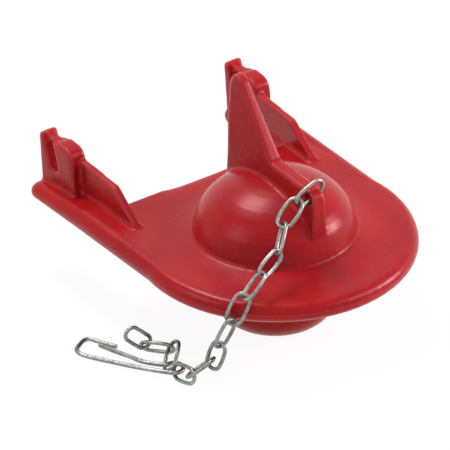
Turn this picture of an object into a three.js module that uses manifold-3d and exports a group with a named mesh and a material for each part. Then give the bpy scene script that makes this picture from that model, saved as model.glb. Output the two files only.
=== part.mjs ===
// Toilet flapper with its pull chain and snap clip. Millimetres, +Z up.
// Origin: centre of the flat foot under the float bulb. +X runs from the hinge ears to the free edge.
import * as THREE from 'three';
import { mergeVertices } from 'three/addons/utils/BufferGeometryUtils.js';
import Module from 'manifold-3d';

const wasm = await Module();
wasm.setup();

// Disc, web and arms
const DISC_RADIUS = 41;
const SEAT_HEIGHT = 21.4; // underside of the disc, which seals on the valve
const FLANGE_THICKNESS = 6.8;
const FRONT_RIM_THICKNESS = 5.9;
const ARM_END_THICKNESS = 4.8;
const RIM_ROUNDING = 3;
const WEB_EDGE_ROUNDING = 0.8;
const FLANK_HALF_WIDTH = 40.5;
const WEB_REAR_X = -36.7;
const ARM_REAR_X = -65.4;
const ARM_INNER_Y = 29.2;
const ARM_THIN_START_X = -42; // the arms get thinner behind this
const ARM_CORNER_RADIUS = 3.6;

// Dome, float bulb and air chamber
const DOME_BASE_RADIUS = 23.2;
const DOME_BASE_HEIGHT = 29;
const DOME_RISE = 16.4;
const DOME_FULLNESS = 2.15; // 2 would be an ellipse
const DOME_FOOT_FLARE = 0.9;
const CONE_EDGE_RADIUS = 36;
const CONE_EDGE_HEIGHT = 26.9;
const DOME_WALL = 3.3;
const BULB_TOP_RADIUS = 19.5;
const FOOT_RADIUS = 9.5;
const FOOT_THICKNESS = 3.2;
const BULB_WALL = 3.1;
const BLEED_HOLE_RADIUS = 3.6;
const BLEED_HOLE_HEIGHT = 11;

// Fin, rib and lug
const FIN_TOP_HEIGHT = 71.6;
const RIB_TOP_HEIGHT = 51;
const RIB_FRONT_X = 21.6;
const RIB_BASE_THICKNESS = 5.4;
const RIB_DRAFT = 0.064; // loss of thickness for each millimetre of height
const RIB_EDGE_ROUNDING = 0.5;
const LUG_EYE_X = 18.5;
const LUG_EYE_DROP = 2.7; // eye below the rib's top
const LUG_EYE_HEIGHT = RIB_TOP_HEIGHT - LUG_EYE_DROP;
const LUG_EYE_RADIUS = 1.75;

// Hinge ears and gussets
const EAR_INNER_Y = 29.9;
const EAR_THICKNESS = 5.3;
const EAR_EDGE_ROUNDING = 0.6;
const PEG_SLOT_RADIUS = 1.95;
const STRAP_RECESS = 1.2; // the strap over the slot is thinner than the ear
const GUSSET_THICKNESS = 2.3;
const GUSSET_EDGE_ROUNDING = 0.35;

// Chain and clip
const LINK_WIRE = 1.15;
const LINK_LENGTH = 10.8;
const LINK_WIDTH = 5.3;
const LINK_JOINT_GAP = 0.12; // butt joint in one leg
const LINK_STEPS = 26;
const LINK_SIDES = 7;
const CLIP_WIRE = 1.3;
const CLIP_EYE_RADIUS = 2.65; // to the wire's centre line

// The chain as it lies in the photo: each link's centre from the lug eye, long direction and short direction
const CHAIN = [
  { centre: [0, -1.3, 1.7], long: [0, -0.917, -0.4], short: [0, -0.4, 0.917] },
  { centre: [0.48, -8.56, -2], long: [0.22, -0.811, -0.542], short: [-0.881, -0.403, 0.246] },
  { centre: [3.79, -14.11, -6.92], long: [0.474, -0.597, -0.647], short: [-0.749, 0.112, -0.653] },
  { centre: [6.44, -19.81, -11.75], long: [0.222, -0.894, -0.39], short: [0.061, 0.412, -0.909] },
  { centre: [8.19, -26.76, -15.81], long: [0.223, -0.829, -0.512], short: [-0.947, -0.061, -0.315] },
  { centre: [8.15, -32.22, -21.38], long: [-0.044, -0.494, -0.868], short: [0.764, 0.544, -0.348] },
  { centre: [7.13, -35.92, -28.54], long: [-0.197, -0.361, -0.911], short: [-0.122, 0.931, -0.343] },
  { centre: [5.16, -37.8, -36.28], long: [-0.294, -0.147, -0.944], short: [-0.907, -0.27, 0.324] },
  { centre: [1.52, -40.57, -41.22], long: [-0.49, -0.595, -0.637], short: [-0.647, 0.738, -0.192] },
  { centre: [-3.31, -42.83, -44.95], long: [-0.973, -0.043, -0.225], short: [-0.229, 0.236, 0.944] },
  { centre: [-13.06, -40.21, -44.88], long: [-0.596, 0.663, 0.452], short: [-0.76, -0.286, -0.584] },
  { centre: [-18.96, -40.93, -44.65], long: [-0.796, -0.602, -0.064], short: [-0.242, 0.413, -0.878] },
  { centre: [-21.5, -45.89, -41.01], long: [-0.069, -0.724, 0.686], short: [-0.034, -0.685, -0.727] },
];

// The clip's eye, then the points that its arm and its back wire run through
const CLIP_EYE = [-8.82, -42.4, -45.92];
const CLIP_ARM = [[-32.93, -51.08, -47.29], [-27.13, -49.88, -46.89], [-21.93, -48.48, -46.49], [-17.13, -47.38, -46.19]];
const CLIP_BACK = [
  [-15.43, -49.48, -46.59], [-23.93, -53.88, -47.19], [-30.93, -57.28, -47.59], [-33.33, -57.98, -47.64], [-35.33, -57.38, -47.64],
  [-36.83, -55.38, -47.64], [-38.03, -52.98, -47.64], [-37.73, -51.18, -47.64], [-35.43, -50.18, -47.59], [-29.53, -47.68, -47.39],
];

const SEGMENTS = 56; // round the dome and bulb
const ARC_STEPS = 40; // round the disc's free edge

const rubber = new THREE.MeshStandardMaterial({ color: 0xb03030, roughness: 0.42, metalness: 0 });
const steel = new THREE.MeshStandardMaterial({ color: 0xb9b8b0, roughness: 0.28, metalness: 1 });

// Booleans between closed meshes
function toSolid(geometry) {
  const bare = geometry.clone();
  bare.deleteAttribute('normal');
  bare.deleteAttribute('uv');
  const merged = mergeVertices(bare, 1e-4);
  return new wasm.Manifold(new wasm.Mesh({
    numProp: 3,
    vertProperties: new Float32Array(merged.attributes.position.array),
    triVerts: new Uint32Array(merged.index.array),
  }));
}

function toGeometry(solid) {
  const mesh = solid.getMesh();
  const geometry = new THREE.BufferGeometry();
  geometry.setAttribute('position', new THREE.BufferAttribute(mesh.vertProperties, 3));
  geometry.setIndex(new THREE.BufferAttribute(mesh.triVerts, 1));
  geometry.computeVertexNormals();
  return geometry;
}

// A profile drawn as (radius, height) pairs turned about the vertical axis
function lathe(points, segments = SEGMENTS) {
  const geometry = new THREE.LatheGeometry(points, segments);
  geometry.rotateX(Math.PI / 2);
  return geometry;
}

// A side view drawn as (x, z), extruded along Y between two values with rounded edges
function sideExtrusion(shape, yLow, yHigh, rounding, steps = 2, curveSegments = 6) {
  const geometry = new THREE.ExtrudeGeometry(shape, {
    depth: yHigh - yLow - 2 * rounding,
    bevelEnabled: rounding > 0,
    bevelThickness: rounding,
    bevelSize: rounding,
    bevelOffset: -rounding,
    bevelSegments: steps,
    curveSegments,
  });
  geometry.rotateX(Math.PI / 2);
  geometry.translate(0, yHigh - rounding, 0);
  return geometry;
}

function smoothstep(t) {
  const s = THREE.MathUtils.clamp(t, 0, 1);
  return s * s * (3 - 2 * s);
}

// The flange is thickest at the flanks, and thinner at the free edge and at the arms' ends
function flangeThickness(x) {
  const front = smoothstep(x / DISC_RADIUS);
  const rear = THREE.MathUtils.clamp((ARM_THIN_START_X - x) / (ARM_THIN_START_X - ARM_REAR_X), 0, 1);
  return FLANGE_THICKNESS - front * (FLANGE_THICKNESS - FRONT_RIM_THICKNESS)
    - rear * (FLANGE_THICKNESS - ARM_END_THICKNESS);
}

// Plan outline of disc, web and arms, pulled in by one amount outside and another at the web's edge
function flangeOutline(outerInset, innerInset) {
  const radius = DISC_RADIUS - outerInset;
  const halfWidth = FLANK_HALF_WIDTH - outerInset;
  const tangent = Math.acos(halfWidth / radius);
  const points = [];
  for (let i = 0; i <= ARC_STEPS; i += 1) {
    const angle = THREE.MathUtils.lerp(-Math.PI / 2 - tangent, Math.PI / 2 + tangent, i / ARC_STEPS);
    points.push(new THREE.Vector2(radius * Math.cos(angle), radius * Math.sin(angle)));
  }
  const corner = ARM_CORNER_RADIUS - outerInset;
  const rear = ARM_REAR_X + outerInset;
  const inner = ARM_INNER_Y + innerInset;
  const web = WEB_REAR_X + innerInset;
  const flankSteps = 8;
  const flankStart = points[points.length - 1].x;
  for (let i = 1; i < flankSteps; i += 1) {
    points.push(new THREE.Vector2(THREE.MathUtils.lerp(flankStart, rear + corner, i / flankSteps), halfWidth));
  }
  const cornerSteps = 5;
  for (let i = 0; i <= cornerSteps; i += 1) {
    const angle = Math.PI / 2 * (1 + i / cornerSteps);
    points.push(new THREE.Vector2(
      rear + corner + corner * Math.cos(angle),
      halfWidth - corner + corner * Math.sin(angle),
    ));
  }
  points.push(new THREE.Vector2(rear, inner));
  points.push(new THREE.Vector2(ARM_THIN_START_X, inner));
  points.push(new THREE.Vector2(web, inner));
  const mirrored = points.slice(ARC_STEPS + 1).reverse().map((p) => new THREE.Vector2(p.x, -p.y));
  return points.concat(mirrored);
}

// Disc, web and arms: stacked outlines with a rounded edge, flat underneath
function flange() {
  const levels = [-90, -68, -46, -23, 0, 23, 46, 68, 90].map((d) => THREE.MathUtils.degToRad(d));
  const rings = levels.map((angle) => {
    const outline = flangeOutline(RIM_ROUNDING * (1 - Math.cos(angle)), WEB_EDGE_ROUNDING * Math.sin(angle) ** 10);
    return outline.map((p) => new THREE.Vector3(
      p.x,
      p.y,
      SEAT_HEIGHT + flangeThickness(p.x) * (1 + Math.sin(angle)) / 2,
    ));
  });
  const count = rings[0].length;
  const positions = rings.flat().flatMap((p) => [p.x, p.y, p.z]);
  const indices = [];
  for (let ring = 0; ring + 1 < rings.length; ring += 1) {
    for (let i = 0; i < count; i += 1) {
      const a = ring * count + i;
      const b = ring * count + (i + 1) % count;
      indices.push(a, b, b + count, a, b + count, a + count);
    }
  }
  addCap(indices, rings[0], 0, true);
  addCap(indices, rings[rings.length - 1], (rings.length - 1) * count, false);
  const geometry = new THREE.BufferGeometry();
  geometry.setAttribute('position', new THREE.Float32BufferAttribute(positions, 3));
  geometry.setIndex(indices);
  return geometry;
}

// The disc is capped with strips from side to side, the web and arms behind it with free triangles
function addCap(indices, ring, offset, facesDown) {
  const triangles = [];
  for (let i = 0; i < ARC_STEPS / 2; i += 1) {
    const j = ARC_STEPS - i;
    triangles.push([i, i + 1, j - 1]);
    if (i !== 0 || j !== ARC_STEPS + 1) triangles.push([i, j - 1, j]);
  }
  const rest = [0];
  for (let i = ARC_STEPS; i < ring.length; i += 1) rest.push(i);
  const outline = rest.map((i) => new THREE.Vector2(ring[i].x, ring[i].y));
  for (const face of THREE.ShapeUtils.triangulateShape(outline, [])) {
    triangles.push(face.map((i) => rest[i]));
  }
  for (const [a, b, c] of triangles) {
    if (a === b || b === c || a === c) continue;
    if (facesDown) indices.push(offset + a, offset + c, offset + b);
    else indices.push(offset + a, offset + b, offset + c);
  }
}

// Outside of dome and float bulb as one turned solid; the skirt between them lies inside the disc
function shellOutside() {
  const points = [[0, 0], [FOOT_RADIUS, 0]];
  const sideRise = 7.8;
  const sideRadius = 18;
  for (let i = 1; i <= 7; i += 1) {
    const angle = Math.PI / 2 * i / 7;
    points.push([
      FOOT_RADIUS + (sideRadius - FOOT_RADIUS) * Math.sin(angle),
      sideRise * (1 - Math.cos(angle)),
    ]);
  }
  points.push([19.2, 14], [BULB_TOP_RADIUS, SEAT_HEIGHT + 1], [CONE_EDGE_RADIUS, SEAT_HEIGHT + 2]);
  points.push([CONE_EDGE_RADIUS, CONE_EDGE_HEIGHT], [DOME_BASE_RADIUS + DOME_FOOT_FLARE, DOME_BASE_HEIGHT]);
  for (const [radius, height] of domeProfile(DOME_BASE_RADIUS, DOME_RISE)) {
    const rise = height / DOME_RISE;
    points.push([radius + DOME_FOOT_FLARE * Math.max(0, 0.55 - 2.6 * rise), DOME_BASE_HEIGHT + height]);
  }
  return points.map(([x, y]) => new THREE.Vector2(x, y));
}

// Superellipse from its foot to the axis
function domeProfile(radius, rise) {
  const points = [];
  const steps = 12;
  for (let i = 0; i <= steps; i += 1) {
    const angle = Math.PI / 2 * i / steps;
    points.push([
      radius * Math.max(0, Math.cos(angle)) ** (2 / DOME_FULLNESS),
      0.15 + (rise - 0.15) * Math.sin(angle) ** (2 / DOME_FULLNESS),
    ]);
  }
  points[steps][0] = 0;
  return points;
}

// Air chamber in dome and bulb
function airChamber() {
  const points = [[0, FOOT_THICKNESS], [FOOT_RADIUS, FOOT_THICKNESS], [12, 5], [14.4, 8]];
  points.push([19.2 - BULB_WALL, 14], [BULB_TOP_RADIUS - BULB_WALL, SEAT_HEIGHT + 1]);
  points.push([17.6, DOME_BASE_HEIGHT - 2]);
  const inside = domeProfile(DOME_BASE_RADIUS - DOME_WALL, DOME_RISE - DOME_WALL);
  for (const [radius, height] of inside.filter((unused, i) => i % 2 === 0)) {
    points.push([radius, DOME_BASE_HEIGHT + height]);
  }
  return points.map(([x, y]) => new THREE.Vector2(x, y));
}

// Lifting fin, the rib it runs into, and the lug at the rib's front end
function fin() {
  const shape = new THREE.Shape();
  shape.moveTo(-20.4, DOME_BASE_HEIGHT + 1);
  shape.lineTo(RIB_FRONT_X, DOME_BASE_HEIGHT + 1);
  shape.lineTo(RIB_FRONT_X, RIB_TOP_HEIGHT - 4.2);
  shape.bezierCurveTo(
    RIB_FRONT_X, RIB_TOP_HEIGHT - 1.4,
    RIB_FRONT_X - 1.8, RIB_TOP_HEIGHT,
    RIB_FRONT_X - 4.4, RIB_TOP_HEIGHT - 0.1,
  );
  shape.lineTo(0.4, RIB_TOP_HEIGHT + 0.2);
  shape.lineTo(-14, FIN_TOP_HEIGHT - 1.7);
  shape.bezierCurveTo(-15, FIN_TOP_HEIGHT - 0.4, -15.9, FIN_TOP_HEIGHT, -17, FIN_TOP_HEIGHT);
  shape.bezierCurveTo(-18.6, FIN_TOP_HEIGHT, -19.7, FIN_TOP_HEIGHT - 1.6, -20.1, FIN_TOP_HEIGHT - 4.6);
  shape.lineTo(-20.5, FIN_TOP_HEIGHT - 14);
  shape.lineTo(-20.4, 40.1);
  shape.closePath();
  const half = RIB_BASE_THICKNESS / 2;
  const geometry = sideExtrusion(shape, -half, half, RIB_EDGE_ROUNDING);
  const position = geometry.attributes.position;
  for (let i = 0; i < position.count; i += 1) {
    const y = position.getY(i);
    const loss = RIB_DRAFT / 2 * (position.getZ(i) - DOME_BASE_HEIGHT - 3);
    position.setY(i, y - Math.sign(y) * loss);
  }
  return geometry;
}

function earShape() {
  const shape = new THREE.Shape();
  shape.moveTo(-64.9, 24.2);
  shape.lineTo(-48.4, 24.2);
  shape.lineTo(-49.9, 32.5);
  shape.bezierCurveTo(-50, 38.3, -50.4, 40.5, -53.6, 41);
  shape.lineTo(-57.3, 41.2);
  shape.lineTo(-58.7, 40.4);
  shape.lineTo(-62.6, 40.4);
  shape.lineTo(-63.6, 41);
  shape.bezierCurveTo(-64.6, 41.6, -66.2, 41.3, -66.5, 39.9);
  shape.lineTo(-65.3, 26.7);
  shape.closePath();
  return shape;
}

// A slot seen from the side: two round ends joined by straight flanks
function slotShape(from, to, radius) {
  const along = Math.atan2(to.y - from.y, to.x - from.x);
  const shape = new THREE.Shape();
  shape.absarc(to.x, to.y, radius, along - Math.PI / 2, along + Math.PI / 2, false);
  shape.absarc(from.x, from.y, radius, along + Math.PI / 2, along + Math.PI * 1.5, false);
  shape.closePath();
  return shape;
}

function gussetShape() {
  const shape = new THREE.Shape();
  shape.moveTo(-55, 25.2);
  shape.lineTo(-23.2, 26.7);
  shape.lineTo(-22.6, 28.1);
  shape.lineTo(-33.4, 36.3);
  shape.bezierCurveTo(-33.9, 36.7, -34.3, 36.8, -34.9, 36.8);
  shape.lineTo(-49, 37.6);
  shape.lineTo(-55, 37.6);
  shape.closePath();
  return shape;
}

function flapperBody() {
  let body = toSolid(flange()).add(toSolid(lathe(shellOutside())));
  body = body.add(toSolid(fin()));
  const slotLow = new THREE.Vector2(-59.4, 32.9);
  const slotHigh = new THREE.Vector2(-61.1, 37.4);
  const slotOpen = new THREE.Vector2(-63.4, 43.4);
  const earOuterY = EAR_INNER_Y + EAR_THICKNESS;
  for (const side of [1, -1]) {
    const between = (shape, near, far, rounding) => toSolid(sideExtrusion(
      shape,
      Math.min(side * near, side * far),
      Math.max(side * near, side * far),
      rounding,
    ));
    body = body.add(between(earShape(), EAR_INNER_Y, earOuterY, EAR_EDGE_ROUNDING));
    body = body.add(between(gussetShape(), EAR_INNER_Y, EAR_INNER_Y + GUSSET_THICKNESS, GUSSET_EDGE_ROUNDING));
    const slot = slotShape(slotLow, slotHigh, PEG_SLOT_RADIUS);
    body = body.subtract(between(slot, EAR_INNER_Y - 1, earOuterY + 1, 0));
    const pocket = slotShape(slotHigh, slotOpen, PEG_SLOT_RADIUS);
    body = body.subtract(between(pocket, earOuterY - STRAP_RECESS, earOuterY + 1, 0));
    body = body.subtract(between(pocket, EAR_INNER_Y - 1, EAR_INNER_Y + STRAP_RECESS, 0));
  }
  body = body.subtract(toSolid(lathe(airChamber(), SEGMENTS / 2)));
  const bleedHole = new THREE.CylinderGeometry(BLEED_HOLE_RADIUS, BLEED_HOLE_RADIUS, 30, 20);
  bleedHole.rotateZ(Math.PI / 2);
  bleedHole.translate(-20, 0, BLEED_HOLE_HEIGHT);
  body = body.subtract(toSolid(bleedHole));
  const lugEye = new THREE.CylinderGeometry(LUG_EYE_RADIUS, LUG_EYE_RADIUS, 12, 16);
  lugEye.translate(LUG_EYE_X, 0, LUG_EYE_HEIGHT);
  return toGeometry(body.subtract(toSolid(lugEye)));
}

// Centre line of an oval link in its own plane, from one face of the butt joint round to the other
class OvalPath extends THREE.Curve {
  constructor(halfLength, halfWidth, jointGap) {
    super();
    this.straight = halfLength - halfWidth;
    this.bow = halfWidth;
    this.gap = jointGap;
  }

  getPoint(t, target = new THREE.Vector3()) {
    const perimeter = 4 * this.straight + 2 * Math.PI * this.bow;
    let run = this.gap / 2 + (perimeter - this.gap) * t;
    if (run <= this.straight) return target.set(run, this.bow, 0);
    run -= this.straight;
    if (run <= Math.PI * this.bow) {
      const angle = run / this.bow;
      return target.set(this.straight + this.bow * Math.sin(angle), this.bow * Math.cos(angle), 0);
    }
    run -= Math.PI * this.bow;
    if (run <= 2 * this.straight) return target.set(this.straight - run, -this.bow, 0);
    run -= 2 * this.straight;
    if (run <= Math.PI * this.bow) {
      const angle = run / this.bow;
      return target.set(-this.straight - this.bow * Math.sin(angle), -this.bow * Math.cos(angle), 0);
    }
    return target.set(run - Math.PI * this.bow - this.straight, this.bow, 0);
  }
}

// Round wire along a path
function wire(path, diameter, steps, sides) {
  const section = new THREE.Shape();
  for (let i = 0; i < sides; i += 1) {
    const angle = 2 * Math.PI * i / sides;
    const x = diameter / 2 * Math.cos(angle);
    const y = diameter / 2 * Math.sin(angle);
    if (i === 0) section.moveTo(x, y);
    else section.lineTo(x, y);
  }
  section.closePath();
  return new THREE.ExtrudeGeometry(section, { steps, bevelEnabled: false, extrudePath: path });
}

// The chain's tables start from the lug eye
function hangFromLug(geometry) {
  return geometry.translate(LUG_EYE_X, 0, LUG_EYE_HEIGHT);
}

// One link, laid with its long and its short direction along two given vectors
function chainLink({ centre, long, short }) {
  const path = new OvalPath((LINK_LENGTH - LINK_WIRE) / 2, (LINK_WIDTH - LINK_WIRE) / 2, LINK_JOINT_GAP);
  const geometry = wire(path, LINK_WIRE, LINK_STEPS, LINK_SIDES);
  const xAxis = new THREE.Vector3(...long).normalize();
  const zAxis = new THREE.Vector3().crossVectors(xAxis, new THREE.Vector3(...short)).normalize();
  const yAxis = new THREE.Vector3().crossVectors(zAxis, xAxis);
  geometry.applyMatrix4(new THREE.Matrix4().makeBasis(xAxis, yAxis, zAxis));
  geometry.translate(...centre);
  return hangFromLug(geometry);
}

// Snap clip: sprung latch arm, eye, back wire, bend and the hook that catches the arm
function clipGeometry() {
  const [eyeX, eyeY, eyeZ] = CLIP_EYE;
  const points = CLIP_ARM.map((p) => new THREE.Vector3(...p));
  for (let degrees = 195; degrees >= -62; degrees -= 21) {
    const angle = THREE.MathUtils.degToRad(degrees);
    points.push(new THREE.Vector3(
      eyeX + CLIP_EYE_RADIUS * Math.cos(angle),
      eyeY + CLIP_EYE_RADIUS * Math.sin(angle),
      eyeZ,
    ));
  }
  points.push(...CLIP_BACK.map((p) => new THREE.Vector3(...p)));
  const path = new THREE.CatmullRomCurve3(points, false, 'centripetal');
  return hangFromLug(wire(path, CLIP_WIRE, 96, 8));
}

const flapper = new THREE.Group();
flapper.name = 'toilet_flapper';

function addMesh(name, geometry, material) {
  const mesh = new THREE.Mesh(geometry, material);
  mesh.name = name;
  flapper.add(mesh);
}

addMesh('flapper_body', flapperBody(), rubber);
CHAIN.forEach((placement, i) => {
  addMesh(`chain_link_${String(i + 1).padStart(2, '0')}`, chainLink(placement), steel);
});
addMesh('clip', clipGeometry(), steel);

export default flapper;
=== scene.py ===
"""Red rubber cistern flapper with its lift chain and snap clip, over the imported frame."""

import logging
import math
from dataclasses import dataclass, field
from enum import Enum
from typing import Iterable, Optional, Sequence, Union

import bmesh
import bpy
from mathutils import Matrix, Vector


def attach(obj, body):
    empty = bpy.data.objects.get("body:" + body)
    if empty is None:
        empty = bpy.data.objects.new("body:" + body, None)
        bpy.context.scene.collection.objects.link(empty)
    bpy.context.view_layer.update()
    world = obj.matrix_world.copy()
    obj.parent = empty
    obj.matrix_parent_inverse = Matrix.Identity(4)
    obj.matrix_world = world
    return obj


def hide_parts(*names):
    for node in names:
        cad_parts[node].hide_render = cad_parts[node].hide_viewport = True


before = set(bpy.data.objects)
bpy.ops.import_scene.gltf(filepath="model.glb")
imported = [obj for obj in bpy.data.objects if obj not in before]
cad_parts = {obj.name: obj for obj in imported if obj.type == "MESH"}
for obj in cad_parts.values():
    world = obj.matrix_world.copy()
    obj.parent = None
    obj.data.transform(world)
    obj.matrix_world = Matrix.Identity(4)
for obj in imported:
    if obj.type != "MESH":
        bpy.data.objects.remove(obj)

LOG = logging.getLogger("flapper")
MM = 0.001
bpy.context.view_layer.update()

Triple = tuple[float, float, float]
Colour = tuple[float, float, float, float]
SocketKey = Union[str, int]
WHITE: Colour = (1.0, 1.0, 1.0, 1.0)


class Slot(Enum):
    """Names of the finishes that the pieces take."""

    RUBBER = "rubber"
    STEEL_WIRE = "steel_wire"


class GroupName(Enum):
    """Node groups that more than one tree uses."""

    GRAIN = "surface_grain"
    SPECKS = "dust_specks"
    WIRE = "wire_along_path"


class NodeBench:
    """Places and joins the nodes of one tree."""

    def __init__(self, tree: bpy.types.NodeTree) -> None:
        """Keeps the tree that this bench works on.

        Args:
            tree: the tree to which nodes are added.
        """
        self.tree = tree

    def add(
        self,
        kind: str,
        values: Optional[dict[SocketKey, object]] = None,
        **settings: object,
    ) -> bpy.types.Node:
        """Adds a node.

        Args:
            kind: the node's type name.
            values: plain values or sockets for its inputs, by input name or number.
            settings: the node's own properties.

        Returns:
            The new node.
        """
        node = self.tree.nodes.new(kind)
        for name, value in settings.items():
            setattr(node, name, value)
        for key, value in (values or {}).items():
            if isinstance(value, bpy.types.NodeSocket):
                self.tree.links.new(value, node.inputs[key])
            else:
                node.inputs[key].default_value = value
        return node

    def group(
        self,
        name: GroupName,
        values: dict[SocketKey, object],
    ) -> bpy.types.Node:
        """Places a shader node group.

        Args:
            name: the group to place.
            values: plain values or sockets for its inputs.

        Returns:
            The group's node.
        """
        node = self.tree.nodes.new("ShaderNodeGroup")
        node.node_tree = bpy.data.node_groups[name.value]
        for key, value in values.items():
            if isinstance(value, bpy.types.NodeSocket):
                self.tree.links.new(value, node.inputs[key])
            else:
                node.inputs[key].default_value = value
        return node

    def mix_colour(
        self,
        share: bpy.types.NodeSocket,
        first: object,
        second: object,
    ) -> bpy.types.NodeSocket:
        """Mixes two colours.

        Args:
            share: how much of the second colour shows.
            first: colour or socket.
            second: colour or socket.

        Returns:
            The mixed colour's socket.
        """
        node = self.add("ShaderNodeMix", {0: share}, data_type="RGBA")
        for index, value in ((6, first), (7, second)):
            if isinstance(value, bpy.types.NodeSocket):
                self.tree.links.new(value, node.inputs[index])
            else:
                node.inputs[index].default_value = value
        return node.outputs[2]

    def spread(
        self,
        value: bpy.types.NodeSocket,
        source: tuple[float, float],
        target: tuple[float, float],
    ) -> bpy.types.NodeSocket:
        """Maps one range of a value onto another, held at its ends.

        Args:
            value: the value to map.
            source: its lower and upper end.
            target: what those ends become.

        Returns:
            The mapped value's socket.
        """
        node = self.add(
            "ShaderNodeMapRange",
            {0: value, 1: source[0], 2: source[1], 3: target[0], 4: target[1]},
            clamp=True,
        )
        return node.outputs[0]

    def maths(
        self,
        operation: str,
        first: object,
        second: object = 0.0,
    ) -> bpy.types.NodeSocket:
        """Works out one step of arithmetic.

        Args:
            operation: the Math node's operation.
            first: number or socket.
            second: number or socket.

        Returns:
            The result's socket.
        """
        return self.add(
            "ShaderNodeMath", {0: first, 1: second}, operation=operation
        ).outputs[0]


@dataclass(frozen=True)
class SurfaceGroups:
    """Shader groups for the effects that rubber and steel have in common."""

    finer: float = 7.3
    stretch: tuple[float, float] = (0.3, 0.7)
    bare_cells: float = 0.86

    def build(self) -> None:
        """Makes both groups, once each."""
        self._grain()
        self._specks()

    @staticmethod
    def _open(
        name: GroupName,
        inputs: Iterable[tuple[str, str, object]],
    ) -> tuple[NodeBench, bpy.types.Node, bpy.types.Node]:
        """Starts a shader group that gives one mask.

        Args:
            name: the group's name.
            inputs: name, socket type and usual value of each input.

        Returns:
            The bench, the group's input node and its output node.
        """
        tree = bpy.data.node_groups.new(name.value, "ShaderNodeTree")
        for label, kind, value in inputs:
            socket = tree.interface.new_socket(
                name=label, in_out="INPUT", socket_type=kind
            )
            if value is not None:
                socket.default_value = value
        tree.interface.new_socket(
            name="Mask", in_out="OUTPUT", socket_type="NodeSocketFloat"
        )
        bench = NodeBench(tree)
        return bench, bench.add("NodeGroupInput"), bench.add("NodeGroupOutput")

    def _grain(self) -> None:
        """Soft uneven cloud with a finer one laid over it."""
        bench, given, out = self._open(
            GroupName.GRAIN,
            (
                ("Place", "NodeSocketVector", None),
                ("Scale", "NodeSocketFloat", 60.0),
                ("Fine Share", "NodeSocketFloat", 0.35),
            ),
        )
        coarse = bench.add(
            "ShaderNodeTexNoise",
            {
                "Vector": given.outputs["Place"],
                "Scale": given.outputs["Scale"],
                "Detail": 3.0,
                "Roughness": 0.55,
            },
        )
        finer_scale = bench.maths("MULTIPLY", given.outputs["Scale"], self.finer)
        fine = bench.add(
            "ShaderNodeTexNoise",
            {
                "Vector": given.outputs["Place"],
                "Scale": finer_scale,
                "Detail": 2.0,
                "Roughness": 0.6,
            },
        )
        blend = bench.add(
            "ShaderNodeMix",
            {
                0: given.outputs["Fine Share"],
                2: coarse.outputs[0],
                3: fine.outputs[0],
            },
            data_type="FLOAT",
        )
        stretched = bench.spread(blend.outputs[0], self.stretch, (0.0, 1.0))
        bench.tree.links.new(stretched, out.inputs["Mask"])

    def _specks(self) -> None:
        """Scattered small specks of dust."""
        bench, given, out = self._open(
            GroupName.SPECKS,
            (
                ("Place", "NodeSocketVector", None),
                ("Scale", "NodeSocketFloat", 700.0),
                ("Size", "NodeSocketFloat", 0.16),
            ),
        )
        cells = bench.add(
            "ShaderNodeTexVoronoi",
            {
                "Vector": given.outputs["Place"],
                "Scale": given.outputs["Scale"],
                "Randomness": 1.0,
            },
        )
        near = bench.maths("LESS_THAN", cells.outputs["Distance"], given.outputs["Size"])
        pick = bench.add("ShaderNodeSeparateColor", {0: cells.outputs["Color"]})
        kept = bench.maths("GREATER_THAN", pick.outputs[0], self.bare_cells)
        both = bench.maths("MULTIPLY", near, kept)
        bench.tree.links.new(both, out.inputs["Mask"])


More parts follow.
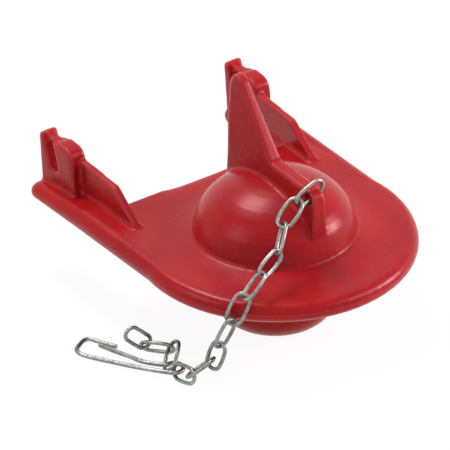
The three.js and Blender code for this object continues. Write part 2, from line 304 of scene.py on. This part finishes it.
@dataclass(frozen=True)
class RubberFinish:
    """Moulded red rubber with a satin skin."""

    name: str = "red_rubber"
    # The lit red and the shaded red below are a lit and a painted-shade copy of the rubber's
    # colour.
    lit: Colour = (0.41, 0.008, 0.006, 1.0)
    painted_shade_red: Colour = (0.30, 0.004, 0.010, 1.0)
    # Pale pink for the painted highlights on sharp edges and on the rim's parting line.
    painted_highlight_pink: Colour = (0.66, 0.10, 0.10, 1.0)
    dust: Colour = (0.50, 0.16, 0.15, 1.0)
    shine: tuple[float, float] = (0.24, 0.34)
    gloss: float = 0.27
    gloss_tint: Colour = (1.0, 0.56, 0.64, 1.0)
    # Height, width and share of the rim's parting line, which is painted as a pale highlight
    # line.
    seam_highlight: float = 24.6 * MM
    seam_highlight_width: tuple[float, float] = (0.06 * MM, 0.22 * MM)
    seam_highlight_share: float = 0.22
    # Pointiness range and share of the painted edge highlight.
    highlight_edge_bend: tuple[float, float] = (0.515, 0.58)
    highlight_edge_share: float = 0.5
    # Pointiness range and share of the painted shade in hollows.
    shade_hollow_bend: tuple[float, float] = (0.42, 0.49)
    shade_hollow_share: float = 0.55
    grain_scale: float = 55.0
    grain_fine: float = 0.3
    speck_scale: float = 640.0
    speck_size: float = 0.07
    speck_share: float = 0.16
    skin_scale: float = 1300.0
    skin_fine: float = 0.4
    skin_depth: float = 0.03 * MM
    skin_strength: float = 0.35
    ring_scale: float = 210.0
    ring_share: float = 0.35

    def material(self) -> bpy.types.Material:
        """Builds the rubber.

        Returns:
            The finished material.
        """
        made = bpy.data.materials.new(self.name)
        made.use_nodes = True
        bench = NodeBench(made.node_tree)
        shader = made.node_tree.nodes["Principled BSDF"]
        place = bench.add("ShaderNodeTexCoord").outputs["Object"]

        cloud = bench.group(
            GroupName.GRAIN,
            {"Place": place, "Scale": self.grain_scale, "Fine Share": self.grain_fine},
        ).outputs["Mask"]
        # Random mottle between the painted-shade red and the lit red, spread by the grain
        # cloud.
        colour = bench.mix_colour(cloud, self.painted_shade_red, self.lit)

        # Painted highlight: sharp outer edges, found by pointiness, are mixed towards pale
        # pink.
        bend = bench.add("ShaderNodeNewGeometry").outputs["Pointiness"]
        painted_edge_highlight = bench.spread(bend, self.highlight_edge_bend, (0.0, self.highlight_edge_share))
        colour = bench.mix_colour(painted_edge_highlight, colour, self.painted_highlight_pink)
        # Painted shade: hollows and creases, found by pointiness, are mixed towards the
        # shaded red.
        painted_hollow_shade = bench.spread(bend, self.shade_hollow_bend, (self.shade_hollow_share, 0.0))
        colour = bench.mix_colour(painted_hollow_shade, colour, self.painted_shade_red)

        # The mould's parting line round the rim's bead, painted as a pale pink highlight
        # line.
        height = bench.add("ShaderNodeSeparateXYZ", {0: place}).outputs["Z"]
        off_line = bench.maths("ABSOLUTE", bench.maths("SUBTRACT", height, self.seam_highlight))
        seam_highlight = bench.spread(off_line, self.seam_highlight_width, (self.seam_highlight_share, 0.0))
        colour = bench.mix_colour(seam_highlight, colour, self.painted_highlight_pink)

        specks = bench.group(
            GroupName.SPECKS,
            {"Place": place, "Scale": self.speck_scale, "Size": self.speck_size},
        ).outputs["Mask"]
        faint = bench.maths("MULTIPLY", specks, self.speck_share)
        colour = bench.mix_colour(faint, colour, self.dust)
        bench.tree.links.new(colour, shader.inputs["Base Color"])

        rough = bench.spread(cloud, (0.0, 1.0), self.shine)
        bench.tree.links.new(rough, shader.inputs["Roughness"])
        self._skin(bench, shader, place)
        shader.inputs["Specular IOR Level"].default_value = self.gloss
        shader.inputs["Specular Tint"].default_value = self.gloss_tint
        return made

    def _skin(
        self,
        bench: NodeBench,
        shader: bpy.types.Node,
        place: bpy.types.NodeSocket,
    ) -> None:
        """Adds the moulded skin and the faint turning marks of the mould.

        Args:
            bench: the material's bench.
            shader: the shader that takes the normal.
            place: object coordinates.
        """
        skin = bench.group(
            GroupName.GRAIN,
            {"Place": place, "Scale": self.skin_scale, "Fine Share": self.skin_fine},
        ).outputs["Mask"]
        rings = bench.add(
            "ShaderNodeTexWave",
            {
                "Vector": place,
                "Scale": self.ring_scale,
                "Distortion": 0.4,
                "Detail": 1.0,
            },
            wave_type="RINGS",
            rings_direction="Z",
        )
        faint = bench.maths("MULTIPLY", rings.outputs[1], self.ring_share)
        height = bench.maths("ADD", skin, faint)
        bump = bench.add(
            "ShaderNodeBump",
            {
                "Strength": self.skin_strength,
                "Distance": self.skin_depth,
                "Height": height,
            },
        )
        bench.tree.links.new(bump.outputs[0], shader.inputs["Normal"])


@dataclass(frozen=True)
class SteelFinish:
    """Bright drawn steel wire, slightly dulled."""

    name: str = "bright_steel_wire"
    bright: Colour = (0.39, 0.39, 0.368, 1.0)
    dull: Colour = (0.12, 0.12, 0.108, 1.0)
    dust: Colour = (0.13, 0.125, 0.11, 1.0)
    shine: tuple[float, float] = (0.27, 0.36)
    patch_scale: float = 140.0
    patch_fine: float = 0.5
    speck_scale: float = 1500.0
    speck_size: float = 0.2
    speck_share: float = 0.6
    scratch_scale: float = 900.0
    scratch_fine: float = 0.3
    scratch_depth: float = 0.0012 * MM
    scratch_strength: float = 0.3

    def material(self) -> bpy.types.Material:
        """Builds the steel.

        Returns:
            The finished material.
        """
        made = bpy.data.materials.new(self.name)
        made.use_nodes = True
        bench = NodeBench(made.node_tree)
        shader = made.node_tree.nodes["Principled BSDF"]
        place = bench.add("ShaderNodeTexCoord").outputs["Object"]

        patches = bench.group(
            GroupName.GRAIN,
            {"Place": place, "Scale": self.patch_scale, "Fine Share": self.patch_fine},
        ).outputs["Mask"]
        colour = bench.mix_colour(patches, self.dull, self.bright)
        specks = bench.group(
            GroupName.SPECKS,
            {"Place": place, "Scale": self.speck_scale, "Size": self.speck_size},
        ).outputs["Mask"]
        faint = bench.maths("MULTIPLY", specks, self.speck_share)
        colour = bench.mix_colour(faint, colour, self.dust)
        bench.tree.links.new(colour, shader.inputs["Base Color"])

        rough = bench.spread(patches, (0.0, 1.0), (self.shine[1], self.shine[0]))
        bench.tree.links.new(rough, shader.inputs["Roughness"])
        scratches = bench.group(
            GroupName.GRAIN,
            {
                "Place": place,
                "Scale": self.scratch_scale,
                "Fine Share": self.scratch_fine,
            },
        ).outputs["Mask"]
        bump = bench.add(
            "ShaderNodeBump",
            {
                "Strength": self.scratch_strength,
                "Distance": self.scratch_depth,
                "Height": scratches,
            },
        )
        bench.tree.links.new(bump.outputs[0], shader.inputs["Normal"])
        shader.inputs["Metallic"].default_value = 1.0
        return made


@dataclass(frozen=True)
class WireGauge:
    """Round wire as it is drawn."""

    diameter: float
    sides: int


class WireTree:
    """Node tree that lays round wire along a path of edges."""

    def __init__(self) -> None:
        """Builds the tree and keeps the identifiers of its inputs."""
        self.tree = bpy.data.node_groups.new(GroupName.WIRE.value, "GeometryNodeTree")
        face = self.tree.interface
        face.new_socket(
            name="Path", in_out="INPUT", socket_type="NodeSocketGeometry"
        )
        self.keys: dict[str, str] = {}
        for label, kind, value in (
            ("Wire Diameter", "NodeSocketFloat", 1.15 * MM),
            ("Round Sides", "NodeSocketInt", 16),
            ("Finish", "NodeSocketMaterial", None),
        ):
            socket = face.new_socket(name=label, in_out="INPUT", socket_type=kind)
            if value is not None:
                socket.default_value = value
            self.keys[label] = socket.identifier
        face.new_socket(
            name="Wire", in_out="OUTPUT", socket_type="NodeSocketGeometry"
        )
        self._wire_up()

    def _wire_up(self) -> None:
        """Places the nodes that turn the path into closed wire."""
        bench = NodeBench(self.tree)
        given = bench.add("NodeGroupInput")
        path = bench.add("GeometryNodeMeshToCurve", {"Mesh": given.outputs["Path"]})
        radius = bench.maths("MULTIPLY", given.outputs["Wire Diameter"], 0.5)
        section = bench.add(
            "GeometryNodeCurvePrimitiveCircle",
            {"Resolution": given.outputs["Round Sides"], "Radius": radius},
        )
        tube = bench.add(
            "GeometryNodeCurveToMesh",
            {
                "Curve": path.outputs["Curve"],
                "Profile Curve": section.outputs["Curve"],
                "Fill Caps": True,
            },
        )
        plain = bench.add(
            "GeometryNodeRealizeInstances", {"Geometry": tube.outputs["Mesh"]}
        )
        dressed = bench.add(
            "GeometryNodeSetMaterial",
            {
                "Geometry": plain.outputs["Geometry"],
                "Material": given.outputs["Finish"],
            },
        )
        out = bench.add("NodeGroupOutput")
        self.tree.links.new(dressed.outputs["Geometry"], out.inputs["Wire"])

    def draw(
        self,
        name: str,
        points: Sequence[Vector],
        gauge: WireGauge,
        finish: bpy.types.Material,
    ) -> bpy.types.Object:
        """Draws one wire.

        Args:
            name: the piece's name.
            points: the wire's centre line, in the row frame, in metres.
            gauge: diameter and number of sides.
            finish: the material.

        Returns:
            A plain mesh object at the origin.
        """
        line = bpy.data.meshes.new(f"{name}_line")
        line.from_pydata(
            [tuple(p) for p in points],
            [(i, i + 1) for i in range(len(points) - 1)],
            [],
        )
        carrier = bpy.data.objects.new(f"{name}_line", line)
        bpy.context.scene.collection.objects.link(carrier)
        modifier = carrier.modifiers.new("wire", "NODES")
        modifier.node_group = self.tree
        modifier[self.keys["Wire Diameter"]] = gauge.diameter
        modifier[self.keys["Round Sides"]] = gauge.sides
        modifier[self.keys["Finish"]] = finish
        piece = Workshop.plain_copy(carrier, name)
        Workshop.face_outwards(piece.data)
        piece.data.shade_smooth()
        return piece


class Workshop:
    """Small jobs that every sub-assembly needs."""

    merge_distance: float = 1e-7

    @staticmethod
    def plain_copy(source: bpy.types.Object, name: str) -> bpy.types.Object:
        """Turns an object and its modifiers into a plain mesh and removes the source.

        Args:
            source: the object with live modifiers.
            name: the new piece's name.

        Returns:
            The plain mesh object.
        """
        bpy.context.view_layer.update()
        graph = bpy.context.evaluated_depsgraph_get()
        mesh = bpy.data.meshes.new_from_object(source.evaluated_get(graph))
        mesh.name = name
        bpy.data.objects.remove(source)
        piece = bpy.data.objects.new(name, mesh)
        bpy.context.scene.collection.objects.link(piece)
        return piece

    @staticmethod
    def face_outwards(mesh: bpy.types.Mesh) -> None:
        """Merges doubles and turns every face outwards.

        Args:
            mesh: a closed mesh.
        """
        work = bmesh.new()
        work.from_mesh(mesh)
        bmesh.ops.remove_doubles(
            work, verts=work.verts, dist=Workshop.merge_distance
        )
        bmesh.ops.recalc_face_normals(work, faces=work.faces)
        work.to_mesh(mesh)
        work.free()

    @staticmethod
    def hand_over(
        piece: bpy.types.Object,
        body: str,
        node: str,
        slot: Slot,
    ) -> None:
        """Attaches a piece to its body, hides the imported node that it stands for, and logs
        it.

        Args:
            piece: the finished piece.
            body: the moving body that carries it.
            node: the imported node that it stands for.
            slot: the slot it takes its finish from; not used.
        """
        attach(piece, body)
        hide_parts(node)
        triangles = sum(len(p.vertices) - 2 for p in piece.data.polygons)
        LOG.info("%s rides on %s with %d triangles", piece.name, body, triangles)


@dataclass
class RubberFlapper:
    """The moulded body: disc, dome, bulb, straps, ears, fin and rib."""

    finish: bpy.types.Material
    node: str = "flapper_body"
    body: str = "flapper"
    voxel: float = 0.58 * MM
    relax: float = 0.5
    smoothing: int = 1
    fairing: int = 90
    fade: float = 1.5 * MM
    disc_radii: tuple[float, float] = (24.2 * MM, 38.6 * MM)
    disc_heights: tuple[float, float] = (25.2 * MM, 29.6 * MM)
    disc_back: float = -18.0 * MM
    disc_side: float = 26.0 * MM

    def build(self) -> bpy.types.Object:
        """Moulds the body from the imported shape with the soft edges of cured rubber.

        Returns:
            The finished piece.
        """
        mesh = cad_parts[self.node].data.copy()
        Workshop.face_outwards(mesh)
        blank = bpy.data.objects.new("rubber_blank", mesh)
        bpy.context.scene.collection.objects.link(blank)
        cure = blank.modifiers.new("cure", "REMESH")
        cure.mode = "VOXEL"
        cure.voxel_size = self.voxel
        soften = blank.modifiers.new("soften", "SMOOTH")
        soften.factor = self.relax
        soften.iterations = self.smoothing
        moulded = Workshop.plain_copy(blank, "rubber_moulding")
        piece = self._fair_the_disc(moulded)
        piece.data.materials.clear()
        piece.data.materials.append(self.finish)
        piece.data.shade_smooth()
        Workshop.hand_over(piece, self.body, self.node, Slot.RUBBER)
        return piece

    def _fair_the_disc(self, moulded: bpy.types.Object) -> bpy.types.Object:
        """Runs the dome's skirt smoothly out into the disc's upper face.

        Args:
            moulded: the plain moulding.

        Returns:
            The faired moulding.
        """
        face = moulded.vertex_groups.new(name="disc_face")
        low, high = self.disc_heights
        for vertex in moulded.data.vertices:
            x, y, z = vertex.co
            radius = math.hypot(x, y)
            on_arm = x < self.disc_back and abs(y) > self.disc_side
            if on_arm or not low < z < high:
                continue
            inner = (radius - self.disc_radii[0]) / self.fade
            outer = (self.disc_radii[1] - radius) / self.fade
            weight = max(0.0, min(1.0, inner, outer))
            if weight > 0.0:
                face.add([vertex.index], weight, "REPLACE")
        fair = moulded.modifiers.new("fair", "SMOOTH")
        fair.vertex_group = face.name
        fair.factor = self.relax
        fair.iterations = self.fairing
        return Workshop.plain_copy(moulded, "rubber_flapper")


@dataclass(frozen=True)
class LinkPlace:
    """One link's centre in mm, its directions, and how far its legs bow out, in metres."""

    centre: Triple
    long: Triple
    short: Triple
    belly: float = 0.3 * MM


@dataclass
class LiftChain:
    """Thirteen oval links of bent wire."""

    finish: bpy.types.Material
    tree: WireTree
    gauge: WireGauge = field(default_factory=lambda: WireGauge(1.15 * MM, 20))
    length: float = 10.8 * MM
    width: float = 5.3 * MM
    joint_gap: float = 0.12 * MM
    steps: int = 84
    places: tuple[LinkPlace, ...] = (
        LinkPlace((18.5, -1.3, 50), (0, -0.917, -0.4), (0, -0.4, 0.917)),
        LinkPlace((18.98, -8.56, 46.3), (0.22, -0.811, -0.542), (-0.881, -0.403, 0.246)),
        LinkPlace((22.29, -14.11, 41.38), (0.474, -0.597, -0.647), (-0.749, 0.112, -0.653)),
        LinkPlace((24.94, -19.81, 36.55), (0.222, -0.894, -0.39), (0.061, 0.412, -0.909)),
        LinkPlace((26.69, -26.76, 32.49), (0.223, -0.829, -0.512), (-0.947, -0.061, -0.315)),
        LinkPlace((26.65, -32.22, 26.92), (-0.044, -0.494, -0.868), (0.764, 0.544, -0.348)),
        LinkPlace((25.63, -35.92, 19.76), (-0.197, -0.361, -0.911), (-0.122, 0.931, -0.343)),
        LinkPlace((23.66, -37.8, 12.02), (-0.294, -0.147, -0.944), (-0.907, -0.27, 0.324)),
        LinkPlace((20.02, -40.57, 7.08), (-0.49, -0.595, -0.637), (-0.647, 0.738, -0.192)),
        LinkPlace((15.19, -42.83, 3.35), (-0.973, -0.043, -0.225), (-0.229, 0.236, 0.944)),
        LinkPlace((5.44, -40.21, 3.42), (-0.596, 0.663, 0.452), (-0.76, -0.286, -0.584)),
        LinkPlace((-0.46, -40.93, 3.65), (-0.796, -0.602, -0.064), (-0.242, 0.413, -0.878)),
        LinkPlace(
            (-3, -45.89, 7.29),
            (-0.069, -0.724, 0.686),
            (-0.034, -0.685, -0.727),
            belly=0.06 * MM,
        ),
    )

    def build(self) -> list[bpy.types.Object]:
        """Bends every link and hands each to its own body.

        Returns:
            The links, from the lug to the free end.
        """
        links = []
        for number, place in enumerate(self.places, 1):
            node = f"chain_link_{number:02d}"
            piece = self.tree.draw(
                f"bent_link_{number:02d}", self._line(place), self.gauge, self.finish
            )
            Workshop.hand_over(piece, node, node, Slot.STEEL_WIRE)
            links.append(piece)
        return links

    def _line(self, place: LinkPlace) -> list[Vector]:
        """Follows one link's centre line from one face of its butt joint to the other.

        Args:
            place: where the link lies.

        Returns:
            Points in the row frame, in metres.
        """
        along = Vector(place.long).normalized()
        normal = along.cross(Vector(place.short)).normalized()
        across = normal.cross(along)
        centre = Vector(place.centre) * MM
        reach = (self.length - self.gauge.diameter) / 2
        line = []
        for step in range(self.steps + 1):
            u, v = self._oval(step / self.steps)
            v += math.copysign(place.belly, v) * math.cos(math.pi * u / reach / 2) ** 2
            line.append(centre + along * u + across * v)
        return line

    def _oval(self, share: float) -> tuple[float, float]:
        """Point on the oval.

        Args:
            share: how far round the wire, from 0 to 1.

        Returns:
            The point along and across the link, in metres.
        """
        bow = (self.width - self.gauge.diameter) / 2
        straight = (self.length - self.gauge.diameter) / 2 - bow
        around = 4 * straight + 2 * math.pi * bow
        run = self.joint_gap / 2 + (around - self.joint_gap) * share
        if run <= straight:
            return run, bow
        run -= straight
        if run <= math.pi * bow:
            angle = run / bow
            return straight + bow * math.sin(angle), bow * math.cos(angle)
        run -= math.pi * bow
        if run <= 2 * straight:
            return straight - run, -bow
        run -= 2 * straight
        if run <= math.pi * bow:
            angle = run / bow
            return -straight - bow * math.sin(angle), -bow * math.cos(angle)
        return run - math.pi * bow - straight, bow


@dataclass
class SnapClip:
    """Spring clip bent from one wire: latch arm, eye, back wire, bend and hook."""

    finish: bpy.types.Material
    tree: WireTree
    gauge: WireGauge = field(default_factory=lambda: WireGauge(1.3 * MM, 22))
    node: str = "clip"
    eye: Triple = (9.68, -42.4, 2.38)
    eye_radius: float = 2.65
    eye_turn: tuple[int, int, int] = (195, -63, -21)
    arm: tuple[Triple, ...] = (
        (-14.43, -51.08, 1.01),
        (-8.63, -49.88, 1.41),
        (-3.43, -48.48, 1.81),
        (1.37, -47.38, 2.11),
    )
    back: tuple[Triple, ...] = (
        (3.07, -49.48, 1.71),
        (-5.43, -53.88, 1.11),
        (-12.43, -57.28, 0.71),
        (-14.83, -57.98, 0.66),
        (-16.83, -57.38, 0.66),
        (-18.33, -55.38, 0.66),
        (-19.53, -52.98, 0.66),
        (-19.23, -51.18, 0.66),
        (-16.93, -50.18, 0.71),
        (-11.03, -47.68, 0.91),
    )
    steps: int = 12

    def build(self) -> bpy.types.Object:
        """Bends the clip and hands it to its body.

        Returns:
            The finished piece.
        """
        piece = self.tree.draw("snap_clip", self._line(), self.gauge, self.finish)
        Workshop.hand_over(piece, self.node, self.node, Slot.STEEL_WIRE)
        return piece

    def _knots(self) -> list[Vector]:
        """Lists the points that the wire goes through.

        Returns:
            The latch arm's, the eye's and the back wire's points in turn, in mm.
        """
        x, y, z = self.eye
        first, last, step = self.eye_turn
        loop = [
            Vector(
                (
                    x + self.eye_radius * math.cos(math.radians(turn)),
                    y + self.eye_radius * math.sin(math.radians(turn)),
                    z,
                )
            )
            for turn in range(first, last, step)
        ]
        return [Vector(p) for p in self.arm] + loop + [Vector(p) for p in self.back]

    def _line(self) -> list[Vector]:
        """Runs a smooth line through the knots.

        Returns:
            Points in the row frame, in metres.
        """
        knots = self._knots()
        ends = [2 * knots[0] - knots[1], *knots, 2 * knots[-1] - knots[-2]]
        line = []
        for i in range(1, len(ends) - 2):
            quad = ends[i - 1 : i + 3]
            spans = [
                max((quad[k + 1] - quad[k]).length ** 0.5, 1e-4) for k in range(3)
            ]
            line += [self._between(quad, spans, s / self.steps) for s in range(self.steps)]
        line.append(knots[-1] * MM)
        return line

    @staticmethod
    def _between(quad: Sequence[Vector], spans: Sequence[float], t: float) -> Vector:
        """Point between the two middle knots of four.

        Args:
            quad: four knots in a row.
            spans: the knot spacing of the three gaps between them.
            t: share of the way across the middle gap.

        Returns:
            The point, in metres.
        """
        a, b, c, d = quad
        before, middle, after = spans
        leave = (
            (b - a) / before - (c - a) / (before + middle) + (c - b) / middle
        ) * middle
        arrive = (
            (c - b) / middle - (d - b) / (middle + after) + (d - c) / after
        ) * middle
        square, cube = t * t, t * t * t
        point = (
            (2 * cube - 3 * square + 1) * b
            + (cube - 2 * square + t) * leave
            + (3 * square - 2 * cube) * c
            + (cube - square) * arrive
        )
        return point * MM


@dataclass(frozen=True)
class Lamp:
    """One soft lamp: its direction in shares of three axes, its distance, size and power."""

    name: str
    right: float
    back: float
    sky: float
    distance: float
    size: float
    watts: float


@dataclass
class Studio:
    """Pale floor, soft lamps and the camera at the photograph's angle."""

    azimuth: float = 54.21
    elevation: float = 31.75
    roll: float = 0.15
    pixels: int = 450
    pixels_per_mm: float = 3.52
    pivot: Triple = (0.0, 0.0, 29.0)
    pivot_pixel: tuple[float, float] = (275.03, 227.09)
    lens: float = 1200.0
    sensor: float = 36.0
    clip_range: tuple[float, float] = (0.1, 30.0)
    ambient: float = 0.36
    floor_shade: float = 0.11
    floor_reach: float = 4.0
    floor_paint: Colour = (0.9, 0.9, 0.9, 1.0)
    floor_glow: float = 1.04
    lit_point: Triple = (0.0, 0.0, 0.03)
    lamps: tuple[Lamp, ...] = (
        Lamp("key", -0.25, -0.34, 0.95, 0.55, 0.18, 1.9),
        Lamp("side", 0.80, -0.10, 0.33, 0.60, 0.16, 2.3),
        Lamp("ridge", 0.80, 0.30, 0.42, 0.60, 0.20, 0.7),
        Lamp("front", -0.85, 0.50, 0.38, 0.75, 0.30, 1.1),
    )

    def build(self) -> None:
        """Sets up the camera, the world, the floor and the lamps."""
        self._camera()
        self._world()
        self._floor()
        self._lamps()
        bpy.context.scene.view_settings.view_transform = "Standard"

    def _axes(self) -> tuple[Vector, Vector, Vector]:
        """Works out the view's own directions, before the roll.

        Returns:
            Right, up, and back towards the camera.
        """
        a, e = math.radians(self.azimuth), math.radians(self.elevation)
        right = Vector((math.cos(a), math.sin(a), 0.0))
        up = Vector((-math.sin(a) * math.sin(e), math.cos(a) * math.sin(e), math.cos(e)))
        back = Vector(
            (math.sin(a) * math.cos(e), -math.cos(a) * math.cos(e), math.sin(e))
        )
        return right, up, back

    def _camera(self) -> None:
        """Places a long lens so that the pivot falls on its pixel."""
        right, up, back = self._axes()
        roll = math.radians(self.roll)
        picture_x = math.cos(roll) * right - math.sin(roll) * up
        picture_y = math.sin(roll) * right + math.cos(roll) * up
        centre = self.pixels / 2
        shift_x = (centre - self.pivot_pixel[0]) / self.pixels_per_mm
        shift_y = (self.pivot_pixel[1] - centre) / self.pixels_per_mm
        aim = Vector(self.pivot) + picture_x * shift_x + picture_y * shift_y
        half_width = self.pixels / self.pixels_per_mm / 2
        distance = half_width / (self.sensor / 2 / self.lens)
        data = bpy.data.cameras.new("studio_camera")
        data.sensor_width = self.sensor
        data.lens = self.lens
        data.clip_start, data.clip_end = self.clip_range
        camera = bpy.data.objects.new("studio_camera", data)
        turn = Matrix((picture_x, picture_y, back)).transposed()
        camera.matrix_world = (
            Matrix.Translation((aim + back * distance) * MM) @ turn.to_4x4()
        )
        bpy.context.scene.collection.objects.link(camera)
        bpy.context.scene.camera = camera

    @staticmethod
    def _seen(bench: NodeBench) -> bpy.types.NodeSocket:
        """Tells the rays that look at the backdrop from those that light the object.

        Args:
            bench: the tree's bench.

        Returns:
            1 for camera, glossy and transmission rays.
        """
        path = bench.add("ShaderNodeLightPath")
        first = bench.maths(
            "MAXIMUM",
            path.outputs["Is Camera Ray"],
            path.outputs["Is Glossy Ray"],
        )
        return bench.maths("MAXIMUM", first, path.outputs["Is Transmission Ray"])

    def _world(self) -> None:
        """White where it is seen, plain grey where it lights."""
        world = bpy.data.worlds.new("studio_world")
        world.use_nodes = True
        world.node_tree.nodes.clear()
        bench = NodeBench(world.node_tree)
        lights = bench.add(
            "ShaderNodeBackground",
            {"Color": WHITE, "Strength": self.ambient},
        )
        shows = bench.add("ShaderNodeBackground", {"Color": WHITE, "Strength": 1.0})
        mixed = bench.add(
            "ShaderNodeMixShader",
            {0: self._seen(bench), 1: lights.outputs[0], 2: shows.outputs[0]},
        )
        bench.add("ShaderNodeOutputWorld", {0: mixed.outputs[0]})
        bpy.context.scene.world = world

    def _floor(self) -> None:
        """Lays a white floor that keeps a faint shadow and can't be seen from below."""
        mesh = bpy.data.meshes.new("studio_floor")
        reach = self.floor_reach
        mesh.from_pydata(
            [
                (-reach, -reach, 0.0),
                (reach, -reach, 0.0),
                (reach, reach, 0.0),
                (-reach, reach, 0.0),
            ],
            [],
            [(0, 1, 2, 3)],
        )
        floor = bpy.data.objects.new("studio_floor", mesh)
        bpy.context.scene.collection.objects.link(floor)
        paint = bpy.data.materials.new("white_paper")
        paint.use_nodes = True
        paint.node_tree.nodes.clear()
        bench = NodeBench(paint.node_tree)
        matt = bench.add("ShaderNodeBsdfDiffuse", {"Color": self.floor_paint})
        glow = bench.add(
            "ShaderNodeEmission", {"Color": WHITE, "Strength": self.floor_glow}
        )
        share = bench.maths("MULTIPLY", self._seen(bench), 1.0 - self.floor_shade)
        lit = bench.add(
            "ShaderNodeMixShader", {0: share, 1: matt.outputs[0], 2: glow.outputs[0]}
        )
        clear = bench.add("ShaderNodeBsdfTransparent")
        under = bench.add("ShaderNodeNewGeometry").outputs["Backfacing"]
        both = bench.add(
            "ShaderNodeMixShader", {0: under, 1: lit.outputs[0], 2: clear.outputs[0]}
        )
        bench.add("ShaderNodeOutputMaterial", {0: both.outputs[0]})
        mesh.materials.append(paint)

    def _lamps(self) -> None:
        """Hangs the soft lamps round the object."""
        right, _, back = self._axes()
        sky = Vector((0.0, 0.0, 1.0))
        for plan in self.lamps:
            data = bpy.data.lights.new(f"{plan.name}_lamp", "AREA")
            data.shape = "SQUARE"
            data.size = plan.size
            data.energy = plan.watts
            lamp = bpy.data.objects.new(f"{plan.name}_lamp", data)
            way = (plan.right * right + plan.back * back + plan.sky * sky).normalized()
            lamp.location = Vector(self.lit_point) + way * plan.distance
            lamp.rotation_mode = "QUATERNION"
            lamp.rotation_quaternion = (-way).to_track_quat("-Z", "Y")
            bpy.context.scene.collection.objects.link(lamp)


def main() -> None:
    """Builds the object's sub-assemblies in order, then the studio."""
    logging.basicConfig(level=logging.INFO, format="%(message)s")
    SurfaceGroups().build()
    rubber = RubberFinish().material()
    steel = SteelFinish().material()
    tree = WireTree()
    RubberFlapper(rubber).build()
    LiftChain(steel, tree).build()
    SnapClip(steel, tree).build()
    Studio().build()


if __name__ == "__main__":
    main()
